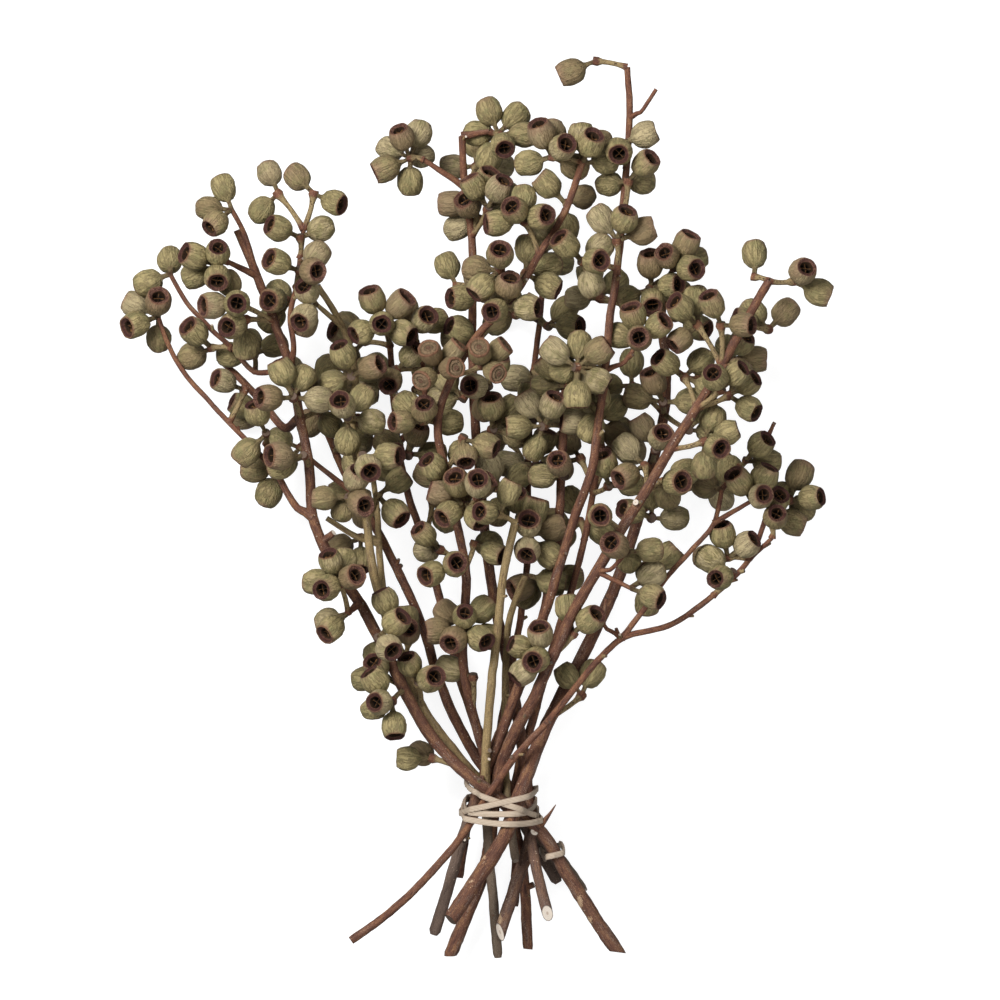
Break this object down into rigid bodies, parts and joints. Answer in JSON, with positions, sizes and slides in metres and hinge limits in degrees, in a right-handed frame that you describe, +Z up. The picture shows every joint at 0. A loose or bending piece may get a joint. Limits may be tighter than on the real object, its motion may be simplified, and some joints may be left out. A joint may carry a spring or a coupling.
{
  "type": "bunch of dried nut branches",
  "caption": "Loose bunch of dried woody branches with round cup-mouthed nuts in clusters, tied near the stem ends with a wound elastic band, lying down.",
  "frame": {"origin": "centre of the bounding box in X and Y, on the surface that the bunch lies on", "axes": "+Z up from the surface, +Y from the cut stem ends to the tips, +X to the right as seen from above with the tips away"},
  "size_m": [0.3565, 0.4515, 0.1247],
  "materials": {
    "maroon_branch": "dry bark, matte, maroon brown with grey patches; nuts khaki green with dark mouths",
    "olive_branch": "dry bark, satin, olive yellow with brown spots; nuts khaki green with dark mouths",
    "band_rubber": "matte cream latex"
  },
  "bodies": {
    "root": {"branch_left_main": "maroon_branch", "branch_left_dark": "maroon_branch", "branch_left_inner": "maroon_branch", "branch_centre_red": "maroon_branch", "branch_centre_tall": "maroon_branch", "branch_centre_thin": "maroon_branch", "branch_centre_dark": "maroon_branch", "branch_right_tall": "maroon_branch", "branch_right_front": "maroon_branch", "branch_right_thin": "maroon_branch", "branch_right_thick": "maroon_branch", "branch_right_inner": "maroon_branch", "branch_left_grey": "olive_branch", "branch_olive_front": "olive_branch", "branch_olive_short": "olive_branch", "elastic_band": "band_rubber", "small_elastic_band": "band_rubber"}
  },
  "joints": []
}
